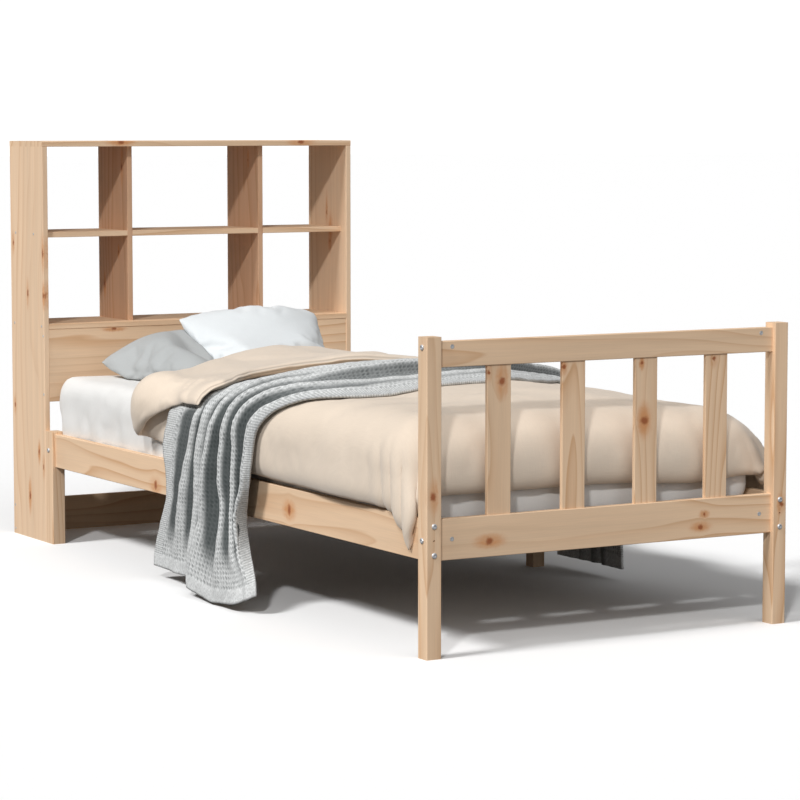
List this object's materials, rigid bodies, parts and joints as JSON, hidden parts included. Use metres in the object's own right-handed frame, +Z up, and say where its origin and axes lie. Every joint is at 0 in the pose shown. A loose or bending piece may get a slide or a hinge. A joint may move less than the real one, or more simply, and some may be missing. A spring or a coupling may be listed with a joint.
{
  "type": "bed",
  "caption": "Pine bed with a slatted footboard, a bookcase headboard of open shelves, a slat deck and made-up bedding of mattress, duvet, pillows and throw.",
  "frame": {"origin": "on the floor under the middle of the footprint", "axes": "+Z up, +Y from the footboard to the bookcase headboard, +X to the right as seen from the foot end"},
  "size_m": [1.0633, 2.2866, 1.095],
  "materials": {
    "pine_post": "satin",
    "pine_rail": "satin",
    "pine_slat": "satin",
    "pine_batten": "matte",
    "pine_deck": "matte",
    "pine_board": "satin",
    "beech_tenon": "matte",
    "zinc_steel": "satin",
    "sheet_cotton": "matte",
    "duvet_linen": "matte",
    "pillow_grey_cotton": "matte",
    "pillow_pale_cotton": "matte",
    "throw_knit": "matte"
  },
  "bodies": {
    "root": {"barrel_nuts": "zinc_steel", "case_bottom_shelf": "pine_board", "case_divider_left": "pine_board", "case_divider_right": "pine_board", "case_floor_rail": "pine_board", "case_shelf_left": "pine_board", "case_shelf_middle": "pine_board", "case_shelf_right": "pine_board", "case_side_left": "pine_board", "case_side_right": "pine_board", "case_top": "pine_board", "corner_brackets": "zinc_steel", "cross_rail_bolts": "zinc_steel", "deck_slat_01": "pine_deck", "deck_slat_02": "pine_deck", "deck_slat_03": "pine_deck", "deck_slat_04": "pine_deck", "deck_slat_05": "pine_deck", "deck_slat_06": "pine_deck", "deck_slat_07": "pine_deck", "deck_slat_08": "pine_deck", "deck_slat_09": "pine_deck", "deck_slat_10": "pine_deck", "deck_slat_11": "pine_deck", "deck_slat_12": "pine_deck", "deck_slat_13": "pine_deck", "duvet": "duvet_linen", "foot_post_left": "pine_post", "foot_post_right": "pine_post", "footboard_lower_rail": "pine_rail", "footboard_slat_1": "pine_slat", "footboard_slat_2": "pine_slat", "footboard_slat_3": "pine_slat", "footboard_slat_4": "pine_slat", "footboard_top_rail": "pine_rail", "head_cross_rail": "pine_rail", "head_leg_left": "pine_post", "head_leg_right": "pine_post", "headboard_panel": "pine_board", "loose_tenons": "beech_tenon", "mattress": "sheet_cotton", "mid_leg_left": "pine_batten", "mid_leg_right": "pine_batten", "pillow_grey": "pillow_grey_cotton", "pillow_pale": "pillow_pale_cotton", "side_rail_bolts": "zinc_steel", "side_rail_left": "pine_rail", "side_rail_right": "pine_rail", "slat_ledger_left_foot": "pine_batten", "slat_ledger_left_head": "pine_batten", "slat_ledger_right_foot": "pine_batten", "slat_ledger_right_head": "pine_batten", "throw": "throw_knit"}
  },
  "joints": []
}
